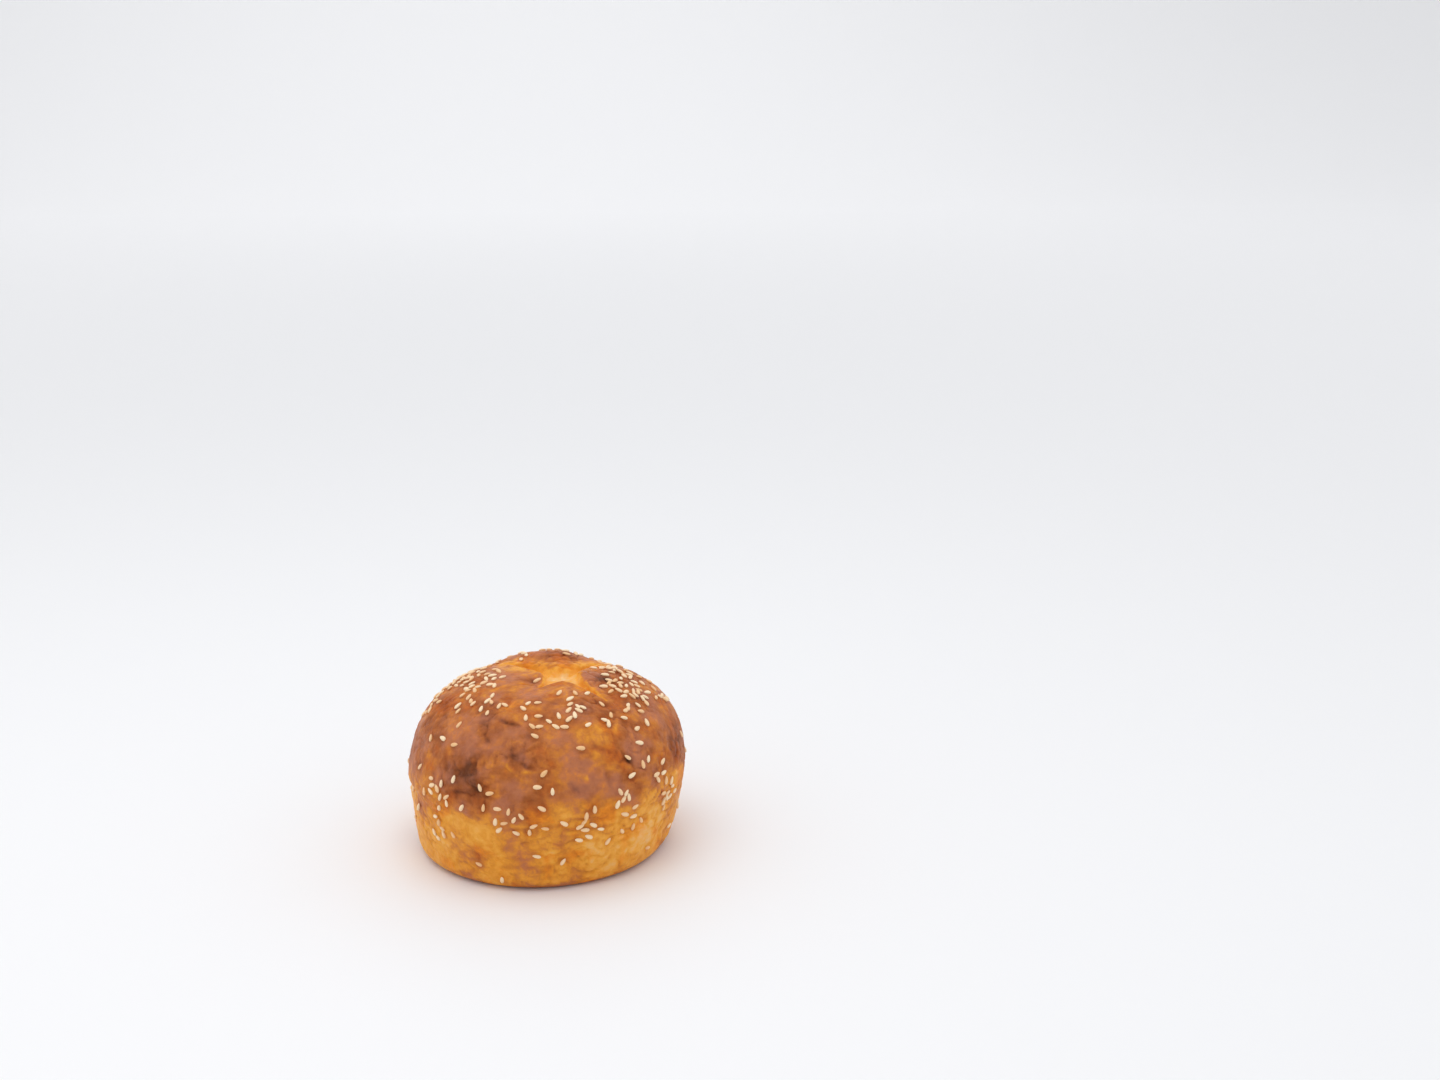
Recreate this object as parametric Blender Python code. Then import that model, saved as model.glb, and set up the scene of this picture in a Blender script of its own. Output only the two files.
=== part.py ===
"""A soft sandwich roll: a round egg-washed bun, cross cut on its crown, with sesame seeds.

Lengths are in metres, Z is up and the front of the roll faces -Y. The roll stands on its
flat base, and the origin is the middle of that base. The crust is a turned profile whose
points are then moved to the uneven form of hand-shaped dough, and the seeds are fused to it.
"""

import math
import random

import bmesh
import bpy
from mathutils import Matrix, Vector, noise

# Crust, as the plain turned form
WAIST_RADIUS = 0.0525
WAIST_HEIGHT = 0.0304
CROWN_HEIGHT = 0.0688
FOOT_RADIUS = 0.0478
FOOT_ROUNDING = 0.006
DOME_POWER_ACROSS = 2.42  # 2 would be an ellipse, more is squarer
DOME_POWER_UP = 2.24
DOME_LEAN = 0.0008  # to the right, half-way up

# Lower half, which leans and tucks in by different amounts round the roll
LEAN_TO_LEFT = 0.0012
LEAN_TO_BACK = 0.0016
RIGHT_TUCK = 0.0016
TUCK_HEIGHT = 0.012
CREASE_HEIGHT = 0.0265
CREASE_DEPTH = 0.0009
CREASE_HALF_HEIGHT = 0.0028
CREASE_AZIMUTH = 190  # degrees, from +X towards +Y
DENT_HEIGHT = 0.0135
DENT_DEPTH = 0.0006
DENT_HALF_HEIGHT = 0.0022
DENT_AZIMUTH = -96
DENT_KEENNESS = 8  # a higher power keeps the dent to a shorter stretch

# Cross cut, seen from above: each arm has a direction in degrees and a length
CUT_CENTRE = Vector((0.006, -0.0036))
CUT_ARMS = ((48, 0.022), (140, 0.028), (234, 0.016), (312, 0.024))
CUT_HALF_WIDTH = 0.0047
CUT_DEPTH = 0.0022
CUT_SIDE = 0.0014
CUT_BACK_SLOPE = 0.0035  # added to the width of the cut's side behind its centre
CUT_BACK_REACH = 0.01  # from the cut's centre, over which that holds
CUT_TAPER = 1.2
CUT_TIP_ROUNDING = 0.004  # of the lobes, where they meet
HOLLOW_CENTRE = Vector((-0.0045, -0.0095))
HOLLOW_DEPTH = 0.0009
HOLLOW_RADIUS = 0.0034
LIP_HEIGHT = 0.0004
LIP_WIDTH = 0.0012

# Four lobes that the cut leaves, with broad valleys between them
VALLEY_DEPTH = 0.0017
VALLEY_HALF_WIDTH = 0.006
VALLEY_FADE_START = 0.5  # in lengths of the arm
VALLEY_FADE_SPAN = 1.1
BACK_LOBE_CENTRE = Vector((-0.001, 0.025))
BACK_LOBE_RISE = 0.0017
BACK_LOBE_RADIUS = 0.0145

# Unevenness of the crust: size of the bumps and their height
SWELLING_SIZE = 0.024
SWELLING_HEIGHT = 0.0008
RIPPLE_SIZE = 0.008
RIPPLE_HEIGHT = 0.00025
LEVEL_FOOT = 0.006

# Mesh of the crust
COLUMNS = 60
CROWN_SLIDE_POWER = 1.5  # how fast the rings over the cut slide back to the roll's axis
SHARP_EDGE = 50  # degrees
CUT_RINGS = 14
CUT_RING_STEP = 0.0019
DOME_RINGS = 9
WALL_RINGS = 6
ROUNDING_RINGS = 3
BASE_RINGS = 2

# Sesame seeds
SEED_COUNT = 200
SEED_LENGTH = 0.0031
SEED_WIDTH = 0.0019
SEED_THICKNESS = 0.0013
SEED_TAPER = 0.35
SEED_SIZE_SPREAD = 0.12
SEED_GAP = 0.0035
SEED_CLEAR_OF_CUT = 0.0022
SEED_SIDES = 5
SEED_BANDS = 3
LAST_SLANT = 1.85  # the lowest seeds, on the foot
WALL_SHARE = 0.45  # of a step of slant on the dome, in length down the crust
SEED_STEP = 0.01  # of slant, and of azimuth in radians, over which the crust's lie is read
PLACES_DRAW = 41
SIZES_DRAW = 5

# Where the seeds fell: a few anywhere, more on the crown, most in pinches, each with its middle,
# its reach and its share. What fell in front of the middle fell behind it too.
BARE_SHARE = 0.06
CROWN_SHARE = 0.2
CROWN_BAND_HEIGHT = 0.056
CROWN_BAND_HALF = 0.008
PINCHES = (
    ((-0.0225, -0.0035, 0.0675), 0.0060, 1.0),
    ((-0.0290, -0.0080, 0.0650), 0.0060, 0.8),
    ((-0.0250, -0.0183, 0.0644), 0.0055, 0.8),
    ((-0.0173, -0.0242, 0.0652), 0.0045, 0.7),
    ((-0.0208, -0.0320, 0.0600), 0.0030, 0.5),
    ((-0.0045, -0.0375, 0.0607), 0.0035, 1.0),
    ((0.0032, -0.0372, 0.0610), 0.0040, 1.0),
    ((0.0107, -0.0320, 0.0632), 0.0045, 0.8),
    ((0.0067, -0.0225, 0.0674), 0.0035, 0.6),
    ((0.0215, -0.0310, 0.0606), 0.0050, 0.5),
    ((0.0253, -0.0126, 0.0658), 0.0055, 1.0),
    ((0.0340, -0.0090, 0.0625), 0.0065, 1.0),
    ((0.0429, 0.0012, 0.0563), 0.0055, 0.8),
    ((0.0334, -0.0220, 0.0590), 0.0050, 0.7),
    ((0.0325, -0.0360, 0.0480), 0.0050, 0.4),
    ((0.0112, -0.0441, 0.0533), 0.0035, 0.6),
    ((-0.0412, -0.0323, 0.0338), 0.0060, 0.8),
    ((-0.0390, -0.0320, 0.0200), 0.0060, 0.8),
    ((-0.0223, -0.0468, 0.0384), 0.0035, 0.8),
    ((-0.0317, -0.0419, 0.0307), 0.0030, 1.0),
    ((-0.0160, -0.0500, 0.0290), 0.0065, 0.9),
    ((0.0010, -0.0520, 0.0300), 0.0055, 0.7),
    ((0.0150, -0.0495, 0.0280), 0.0050, 1.0),
    ((0.0160, -0.0475, 0.0200), 0.0045, 0.6),
    ((0.0270, -0.0448, 0.0325), 0.0045, 1.0),
    ((0.0300, -0.0415, 0.0240), 0.0050, 0.6),
    ((0.0440, -0.0285, 0.0315), 0.0070, 1.0),
)

# Finish
CRUST_COLOUR = (0.50, 0.19, 0.045, 1)
CRUST_ROUGHNESS = 0.42
SEED_COLOUR = (0.89, 0.69, 0.42, 1)
SEED_ROUGHNESS = 0.5


def clear_scene():
    for thing in list(bpy.data.objects):
        bpy.data.objects.remove(thing, do_unlink=True)


def eased(value):
    """Smooth step from 0 to 1."""
    value = min(max(value, 0.0), 1.0)
    return value * value * (3 - 2 * value)


def bell(distance, half_width):
    """Bell curve, 1 in the middle."""
    return math.exp(-(distance / half_width) ** 2)


def towards(azimuth, degrees):
    """How far an azimuth in radians faces a direction: 1 straight at it, 0 at right angles or past."""
    return max(0.0, math.cos(azimuth - math.radians(degrees)))


def dome_height(radius):
    """Height of the smooth dome at a distance from the roll's axis."""
    inside = max(0.0, 1 - (radius / WAIST_RADIUS) ** DOME_POWER_ACROSS)
    return WAIST_HEIGHT + (CROWN_HEIGHT - WAIST_HEIGHT) * inside ** (1 / DOME_POWER_UP)


def turned(slant):
    """Radius and height on the plain form: slant 0 is the crown, 1 the waist and 2 the foot."""
    if slant <= 1:
        radius = WAIST_RADIUS * math.sin(slant * math.pi / 2) ** (2 / DOME_POWER_ACROSS)
        return radius, dome_height(radius)
    drop = slant - 1
    return WAIST_RADIUS - (WAIST_RADIUS - FOOT_RADIUS) * drop, WAIST_HEIGHT * (1 - drop)


def profile():
    """Points of the turned form from the crown's centre down to the base's centre."""
    points = [(0.0, CROWN_HEIGHT)]
    for ring in range(1, CUT_RINGS + 1):
        radius = ring * CUT_RING_STEP
        points.append((radius, dome_height(radius)))
    last_turn = math.asin((points[-1][0] / WAIST_RADIUS) ** (DOME_POWER_ACROSS / 2))
    first_slant = last_turn / (math.pi / 2)
    for ring in range(1, DOME_RINGS + 1):
        points.append(turned(first_slant + (1 - first_slant) * ring / DOME_RINGS))
    last_slant = 2 - FOOT_ROUNDING / WAIST_HEIGHT
    for ring in range(1, WALL_RINGS + 1):
        points.append(turned(1 + (last_slant - 1) * ring / WALL_RINGS))
    inner = points[-1][0] - FOOT_ROUNDING
    for ring in range(1, ROUNDING_RINGS + 1):
        turn = math.pi / 2 * ring / ROUNDING_RINGS
        radius = inner + FOOT_ROUNDING * math.cos(turn)
        points.append((radius, FOOT_ROUNDING * (1 - math.sin(turn))))
    for ring in range(1, BASE_RINGS + 1):
        points.append((inner * (1 - ring / (BASE_RINGS + 1)), 0.0))
    points.append((0.0, 0.0))
    return points


def tucked(azimuth, radius, height):
    """Radius of a point below the waist, where the wall leans, tucks in and is creased."""
    drop = 1 - height / WAIST_HEIGHT
    lean = -LEAN_TO_LEFT * math.cos(azimuth) + LEAN_TO_BACK * math.sin(azimuth)
    tuck = RIGHT_TUCK * towards(azimuth, 0) * max(0.0, 1 - height / TUCK_HEIGHT) ** 2
    moved = lean * drop - tuck
    if height < FOOT_ROUNDING:
        return radius * (1 + moved / FOOT_RADIUS)
    crease = CREASE_DEPTH * towards(azimuth, CREASE_AZIMUTH)
    dent = DENT_DEPTH * towards(azimuth, DENT_AZIMUTH) ** DENT_KEENNESS
    moved -= crease * bell(height - CREASE_HEIGHT, CREASE_HALF_HEIGHT)
    moved -= dent * bell(height - DENT_HEIGHT, DENT_HALF_HEIGHT)
    return radius + moved


def along_and_across(x, y, degrees):
    """A place as seen from the cut's centre: distance along an arm's direction, and to its side."""
    offset = Vector((x, y)) - CUT_CENTRE
    arm = Vector((math.cos(math.radians(degrees)), math.sin(math.radians(degrees))))
    return offset.dot(arm), abs(offset.cross(arm))


def inside_cut(x, y):
    """How far a place lies inside the open cut, negative outside it. The lobes' tips are round."""
    deepest = -WAIST_RADIUS
    for degrees, length in CUT_ARMS:
        along, across = along_and_across(x, y, degrees)
        beyond = max(along - length, 0.0) + max(-along, 0.0)
        half_width = CUT_HALF_WIDTH * (1 - min(max(along / length, 0.0), 1.0)) ** CUT_TAPER
        inside = half_width - math.hypot(across, beyond)
        nearness = max(1 - abs(deepest - inside) / CUT_TIP_ROUNDING, 0.0)
        deepest = max(deepest, inside) + nearness * nearness * CUT_TIP_ROUNDING / 4
    return deepest


def cut_side(x, y):
    """Width of the cut's sloping side, which is gentler behind the middle of the cut."""
    behind = eased((y - CUT_CENTRE.y) / CUT_HALF_WIDTH)
    near = bell((Vector((x, y)) - CUT_CENTRE).length, CUT_BACK_REACH)
    return CUT_SIDE + CUT_BACK_SLOPE * behind * near


def valley_share(x, y):
    """Depth of the valleys between the lobes, from 0 to 1: they follow the arms and fade out."""
    deepest = 0.0
    for degrees, length in CUT_ARMS:
        along, across = along_and_across(x, y, degrees)
        fade = bell(along, VALLEY_HALF_WIDTH)
        if along > 0:
            fade = 1 - eased((along / length - VALLEY_FADE_START) / VALLEY_FADE_SPAN)
        deepest = max(deepest, fade * bell(across, VALLEY_HALF_WIDTH))
    return deepest


def crown_relief(x, y):
    """Rise or fall of the crown: the cut with its lips, the valleys and the raised back lobe."""
    inside = inside_cut(x, y)
    relief = -CUT_DEPTH * eased(inside / cut_side(x, y)) - VALLEY_DEPTH * valley_share(x, y)
    relief += LIP_HEIGHT * bell(inside + LIP_WIDTH, LIP_WIDTH)
    relief -= HOLLOW_DEPTH * bell((Vector((x, y)) - HOLLOW_CENTRE).length, HOLLOW_RADIUS)
    back = (Vector((x, y)) - BACK_LOBE_CENTRE).length / BACK_LOBE_RADIUS
    return relief + BACK_LOBE_RISE * bell(back ** 2, 1)


def crust_point(azimuth, radius, height):
    """Place on the real crust of a point of the plain turned form."""
    if height < WAIST_HEIGHT:
        radius = tucked(azimuth, radius, height)
        point = Vector((radius * math.cos(azimuth), radius * math.sin(azimuth), height))
    else:
        slide = max(0.0, 1 - (radius / WAIST_RADIUS) ** 2) ** CROWN_SLIDE_POWER
        x = radius * math.cos(azimuth) + CUT_CENTRE.x * slide
        y = radius * math.sin(azimuth) + CUT_CENTRE.y * slide
        height = dome_height(math.hypot(x, y))
        rise = (height - WAIST_HEIGHT) / (CROWN_HEIGHT - WAIST_HEIGHT)
        x += DOME_LEAN * 4 * rise * (1 - rise)  # most half-way up
        point = Vector((x, y, height + crown_relief(x, y)))
    swelling = SWELLING_HEIGHT * noise.noise(point / SWELLING_SIZE)
    ripple = RIPPLE_HEIGHT * noise.noise(point / RIPPLE_SIZE)
    outward = (point - Vector((0, 0, WAIST_HEIGHT))).normalized()
    return point + outward * (swelling + ripple) * eased(point.z / LEVEL_FOOT)


def make_crust():
    """Spin the profile into a closed body, then move each point to its place."""
    shape = bmesh.new()
    chain = [shape.verts.new((radius, 0, height)) for radius, height in profile()]
    edges = [shape.edges.new(pair) for pair in zip(chain, chain[1:])]
    bmesh.ops.spin(
        shape,
        geom=chain + edges,
        cent=(0, 0, 0),
        axis=(0, 0, 1),
        angle=2 * math.pi,
        steps=COLUMNS,
        use_merge=True,
    )
    bmesh.ops.remove_doubles(shape, verts=shape.verts, dist=0.00001)
    for vert in shape.verts:
        azimuth = math.atan2(vert.co.y, vert.co.x)
        vert.co = crust_point(azimuth, math.hypot(vert.co.x, vert.co.y), vert.co.z)
    bmesh.ops.recalc_face_normals(shape, faces=shape.faces)
    mesh = bpy.data.meshes.new("sesame_roll")
    shape.to_mesh(mesh)
    shape.free()
    crust = bpy.data.objects.new("sesame_roll", mesh)
    bpy.context.collection.objects.link(crust)
    return crust


def seed_chance(place):
    """Share of seeds that stick at a place: most where a pinch of them fell, in front or behind."""
    chance = BARE_SHARE + CROWN_SHARE * eased((place.z - CROWN_BAND_HEIGHT) / CROWN_BAND_HALF)
    for pinch, reach, share in PINCHES:
        in_front = Vector(pinch)
        behind = Vector((-pinch[0], -pinch[1], pinch[2]))
        distance = min((place - in_front).length, (place - behind).length)
        chance += share * bell(distance, reach)
    return min(chance, 1.0)


def seed_frame(azimuth, slant, spin):
    """Matrix whose origin lies on the crust, with Z straight out of it and X along the seed."""
    place = crust_point(azimuth, *turned(slant))
    round_the_roll = crust_point(azimuth + SEED_STEP, *turned(slant)) - place
    down_the_roll = crust_point(azimuth, *turned(slant + SEED_STEP)) - place
    out = down_the_roll.cross(round_the_roll).normalized()
    along = (round_the_roll - out * round_the_roll.dot(out)).normalized()
    frame = Matrix((along, out.cross(along), out)).transposed().to_4x4()
    frame.translation = place
    return frame @ Matrix.Rotation(spin, 4, 'Z')


def scattered_seeds():
    """Frames of the seeds, each at least a gap away from the others, from a seeded draw."""
    draw = random.Random(PLACES_DRAW)
    frames = []
    while len(frames) < SEED_COUNT:
        azimuth = draw.uniform(-math.pi, math.pi)
        slant = draw.uniform(0, LAST_SLANT)
        spin = draw.uniform(0, math.pi)
        frame = seed_frame(azimuth, slant, spin)
        place = frame.translation
        area = turned(slant)[0] / WAIST_RADIUS * (1 if slant < 1 else WALL_SHARE)
        if draw.random() > seed_chance(place) * area:
            continue
        if place.z > CROWN_BAND_HEIGHT and inside_cut(place.x, place.y) > -SEED_CLEAR_OF_CUT:
            continue
        if all((place - other.translation).length > SEED_GAP for other in frames):
            frames.append(frame)
    return frames


def seed_mesh():
    """One sesame seed: a flattened drop with its narrow end at +X."""
    shape = bmesh.new()
    bmesh.ops.create_uvsphere(shape, u_segments=SEED_SIDES, v_segments=SEED_BANDS, radius=0.5)
    bmesh.ops.rotate(shape, verts=shape.verts, matrix=Matrix.Rotation(math.pi / 2, 3, 'Y'))
    for vert in shape.verts:
        narrowing = 1 - SEED_TAPER * (vert.co.x + 0.5)
        vert.co.x *= SEED_LENGTH
        vert.co.y *= SEED_WIDTH * narrowing
        vert.co.z *= SEED_THICKNESS * narrowing
    mesh = bpy.data.meshes.new("sesame_seed")
    shape.to_mesh(mesh)
    shape.free()
    return mesh


def make_seeds():
    """A collection of seeds on the crust, a little different in size."""
    toppings = bpy.data.collections.new("seeds")
    bpy.context.scene.collection.children.link(toppings)
    draw = random.Random(SIZES_DRAW)
    mesh = seed_mesh()
    mesh.materials.append(baked_material("sesame", SEED_COLOUR, SEED_ROUGHNESS))
    for frame in scattered_seeds():
        seed = bpy.data.objects.new("sesame_seed", mesh)
        size = 1 + draw.uniform(-SEED_SIZE_SPREAD, SEED_SIZE_SPREAD)
        seed.matrix_world = frame @ Matrix.Scale(size, 4)
        toppings.objects.link(seed)
    return toppings


def fuse(crust, toppings):
    """Union of the crust and all its seeds, after which the loose seeds are removed."""
    union = crust.modifiers.new("seeds", 'BOOLEAN')
    union.operation = 'UNION'
    union.operand_type = 'COLLECTION'
    union.collection = toppings
    union.solver = 'EXACT'
    union.material_mode = 'TRANSFER'
    bpy.context.view_layer.objects.active = crust
    bpy.ops.object.modifier_apply(modifier=union.name)
    for seed in list(toppings.objects):
        bpy.data.objects.remove(seed, do_unlink=True)
    bpy.data.collections.remove(toppings)


def baked_material(name, colour, roughness):
    material = bpy.data.materials.new(name)
    material.use_nodes = True
    shader = material.node_tree.nodes["Principled BSDF"]
    shader.inputs["Base Color"].default_value = colour
    shader.inputs["Roughness"].default_value = roughness
    shader.inputs["Metallic"].default_value = 0
    return material


clear_scene()
roll = make_crust()
roll.data.materials.append(baked_material("baked_crust", CRUST_COLOUR, CRUST_ROUGHNESS))
fuse(roll, make_seeds())
roll.data.shade_smooth()
roll.data.set_sharp_from_angle(angle=math.radians(SHARP_EDGE))
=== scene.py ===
"""A soft sandwich roll, dressed for its picture.

Lengths are in metres, +Z is up and the roll's front faces -Y. There is one section for each
piece: the crust, the sesame seeds, the paper sweep, the lights and the camera.
"""

import math
import random

import bpy
from mathutils import Matrix, Vector, kdtree, noise


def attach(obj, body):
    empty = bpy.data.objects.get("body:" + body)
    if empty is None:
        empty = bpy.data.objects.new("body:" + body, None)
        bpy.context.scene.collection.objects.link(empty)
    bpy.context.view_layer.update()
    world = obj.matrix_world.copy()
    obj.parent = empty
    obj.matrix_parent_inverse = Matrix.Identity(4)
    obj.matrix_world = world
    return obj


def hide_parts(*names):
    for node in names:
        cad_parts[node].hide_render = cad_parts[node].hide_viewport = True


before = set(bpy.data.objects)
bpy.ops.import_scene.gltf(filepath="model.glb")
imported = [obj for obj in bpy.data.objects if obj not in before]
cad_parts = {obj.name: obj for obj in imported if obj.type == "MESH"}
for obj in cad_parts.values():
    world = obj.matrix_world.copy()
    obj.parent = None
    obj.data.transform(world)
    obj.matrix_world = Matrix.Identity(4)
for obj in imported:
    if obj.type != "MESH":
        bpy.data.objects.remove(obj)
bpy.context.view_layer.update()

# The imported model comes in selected, and each operator acts on all that is.
bpy.ops.object.select_all(action='DESELECT')


# The crust: one round of enriched dough, rolled by hand, proved, brushed with egg, cut
# crosswise and baked on a tray. It starts as a ball, a sphere whose rings are pulled onto
# the roll's profile, and each point then goes to the uneven form that the oven gave it.

WAIST_RADIUS = 0.0525
WAIST_HEIGHT = 0.0304
CROWN_HEIGHT = 0.0688
FOOT_RADIUS = 0.0478
FOOT_ROUNDING = 0.006
DOME_POWER_ACROSS = 2.42  # 2 would be an ellipse, more is squarer
DOME_POWER_UP = 2.24
DOME_LEAN = 0.0008  # to the right, half-way up

LEAN_TO_LEFT = 0.0012
LEAN_TO_BACK = 0.0016
RIGHT_TUCK = 0.0016
TUCK_HEIGHT = 0.012
WAIST_CREASE_HEIGHT = 0.0265
WAIST_CREASE_DEPTH = 0.0009
WAIST_CREASE_HALF_HEIGHT = 0.0028
WAIST_CREASE_AZIMUTH = 190
DENT_HEIGHT = 0.0135
DENT_DEPTH = 0.0006
DENT_HALF_HEIGHT = 0.0022
DENT_AZIMUTH = -96
DENT_KEENNESS = 8  # more is a dent that runs less far round the wall

CUT_CENTRE = Vector((0.006, -0.0036))
CUT_ARMS = ((48, 0.022), (140, 0.028), (234, 0.016), (312, 0.024))  # degrees and length
CUT_HALF_WIDTH = 0.0047
CUT_DEPTH = 0.0022
CUT_SIDE = 0.0014
CUT_BACK_SLOPE = 0.0035  # added to the width of the cut's side behind its centre
CUT_BACK_REACH = 0.01
CUT_TAPER = 1.2
CUT_TIP_ROUNDING = 0.004  # of the lobes, where they meet
CUT_SLIDE_POWER = 1.5  # how soon the rings, centred on the cut, go back to the roll's axis
HOLLOW_CENTRE = Vector((-0.0045, -0.0095))
HOLLOW_DEPTH = 0.0009
HOLLOW_RADIUS = 0.0034
LIP_HEIGHT = 0.0004
LIP_WIDTH = 0.0012

VALLEY_DEPTH = 0.0017
VALLEY_HALF_WIDTH = 0.006
VALLEY_FADE_START = 0.5  # in lengths of the arm
VALLEY_FADE_SPAN = 1.1
BACK_LOBE_CENTRE = Vector((-0.001, 0.025))
BACK_LOBE_RISE = 0.0017
BACK_LOBE_RADIUS = 0.0145

SWELLING_SIZE = 0.024
SWELLING_HEIGHT = 0.0008
RIPPLE_SIZE = 0.008
RIPPLE_HEIGHT = 0.00025
LEVEL_FOOT = 0.006

COLUMNS = 384
CUT_RINGS = 92
CUT_RING_STEP = 0.0003
DOME_RINGS = 84
WALL_RINGS = 46
ROUNDING_RINGS = 12
BASE_RINGS = 14


def eased(value):
    """Smooth step from 0 to 1."""
    value = min(max(value, 0.0), 1.0)
    return value * value * (3 - 2 * value)


def bell(distance, half_width):
    """Bell curve, 1 in the middle."""
    return math.exp(-(distance / half_width) ** 2)


def towards(azimuth, degrees):
    """How far an azimuth in radians faces a direction: 1 straight at it, 0 at right angles."""
    return max(0.0, math.cos(azimuth - math.radians(degrees)))


def dome_height(radius):
    """Height of the smooth dome at a distance from the roll's axis."""
    inside = max(0.0, 1 - (radius / WAIST_RADIUS) ** DOME_POWER_ACROSS)
    return WAIST_HEIGHT + (CROWN_HEIGHT - WAIST_HEIGHT) * inside ** (1 / DOME_POWER_UP)


def turned(slant):
    """Radius and height on the plain form: slant 0 is the crown, 1 the waist and 2 the foot."""
    if slant <= 1:
        radius = WAIST_RADIUS * math.sin(slant * math.pi / 2) ** (2 / DOME_POWER_ACROSS)
        return radius, dome_height(radius)
    drop = slant - 1
    return WAIST_RADIUS - (WAIST_RADIUS - FOOT_RADIUS) * drop, WAIST_HEIGHT * (1 - drop)


def profile():
    """Points of the turned form from the crown's centre down to the base's centre."""
    points = [(0.0, CROWN_HEIGHT)]
    for ring in range(1, CUT_RINGS + 1):
        radius = ring * CUT_RING_STEP
        points.append((radius, dome_height(radius)))
    last_turn = math.asin((points[-1][0] / WAIST_RADIUS) ** (DOME_POWER_ACROSS / 2))
    first_slant = last_turn / (math.pi / 2)
    for ring in range(1, DOME_RINGS + 1):
        points.append(turned(first_slant + (1 - first_slant) * ring / DOME_RINGS))
    last_slant = 2 - FOOT_ROUNDING / WAIST_HEIGHT
    for ring in range(1, WALL_RINGS + 1):
        points.append(turned(1 + (last_slant - 1) * ring / WALL_RINGS))
    inner = points[-1][0] - FOOT_ROUNDING
    for ring in range(1, ROUNDING_RINGS + 1):
        turn = math.pi / 2 * ring / ROUNDING_RINGS
        radius = inner + FOOT_ROUNDING * math.cos(turn)
        points.append((radius, FOOT_ROUNDING * (1 - math.sin(turn))))
    for ring in range(1, BASE_RINGS + 1):
        points.append((inner * (1 - ring / (BASE_RINGS + 1)), 0.0))
    points.append((0.0, 0.0))
    return points


def tucked(azimuth, radius, height):
    """Radius of a point below the waist, where the wall leans, tucks in and is creased."""
    drop = 1 - height / WAIST_HEIGHT
    lean = -LEAN_TO_LEFT * math.cos(azimuth) + LEAN_TO_BACK * math.sin(azimuth)
    tuck = RIGHT_TUCK * towards(azimuth, 0) * max(0.0, 1 - height / TUCK_HEIGHT) ** 2
    moved = lean * drop - tuck
    if height < FOOT_ROUNDING:
        return radius * (1 + moved / FOOT_RADIUS)
    crease = WAIST_CREASE_DEPTH * towards(azimuth, WAIST_CREASE_AZIMUTH)
    dent = DENT_DEPTH * towards(azimuth, DENT_AZIMUTH) ** DENT_KEENNESS
    moved -= crease * bell(height - WAIST_CREASE_HEIGHT, WAIST_CREASE_HALF_HEIGHT)
    moved -= dent * bell(height - DENT_HEIGHT, DENT_HALF_HEIGHT)
    return radius + moved


def along_and_across(x, y, degrees):
    """A place as seen from the cut's centre: distance along an arm's direction, and to its side."""
    offset = Vector((x, y)) - CUT_CENTRE
    arm = Vector((math.cos(math.radians(degrees)), math.sin(math.radians(degrees))))
    return offset.dot(arm), abs(offset.cross(arm))


def inside_cut(x, y):
    """How far a place lies inside the open cut, negative outside it. The lobes' tips are round."""
    deepest = -WAIST_RADIUS
    for degrees, length in CUT_ARMS:
        along, across = along_and_across(x, y, degrees)
        beyond = max(along - length, 0.0) + max(-along, 0.0)
        half_width = CUT_HALF_WIDTH * (1 - min(max(along / length, 0.0), 1.0)) ** CUT_TAPER
        inside = half_width - math.hypot(across, beyond)
        nearness = max(1 - abs(deepest - inside) / CUT_TIP_ROUNDING, 0.0)
        deepest = max(deepest, inside) + nearness * nearness * CUT_TIP_ROUNDING / 4
    return deepest


def cut_side(x, y):
    """Width of the cut's sloping side, which is gentler behind the middle of the cut."""
    behind = eased((y - CUT_CENTRE.y) / CUT_HALF_WIDTH)
    near = bell((Vector((x, y)) - CUT_CENTRE).length, CUT_BACK_REACH)
    return CUT_SIDE + CUT_BACK_SLOPE * behind * near


def valley_share(x, y):
    """Depth of the valleys between the lobes, from 0 to 1: they follow the arms and fade out."""
    deepest = 0.0
    for degrees, length in CUT_ARMS:
        along, across = along_and_across(x, y, degrees)
        fade = bell(along, VALLEY_HALF_WIDTH)
        if along > 0:
            fade = 1 - eased((along / length - VALLEY_FADE_START) / VALLEY_FADE_SPAN)
        deepest = max(deepest, fade * bell(across, VALLEY_HALF_WIDTH))
    return deepest


def crown_relief(x, y):
    """Rise or fall of the crown: the cut with its lips, the valleys and the raised back lobe."""
    inside = inside_cut(x, y)
    relief = -CUT_DEPTH * eased(inside / cut_side(x, y)) - VALLEY_DEPTH * valley_share(x, y)
    relief += LIP_HEIGHT * bell(inside + LIP_WIDTH, LIP_WIDTH)
    relief -= HOLLOW_DEPTH * bell((Vector((x, y)) - HOLLOW_CENTRE).length, HOLLOW_RADIUS)
    back = (Vector((x, y)) - BACK_LOBE_CENTRE).length / BACK_LOBE_RADIUS
    return relief + BACK_LOBE_RISE * bell(back ** 2, 1)


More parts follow.
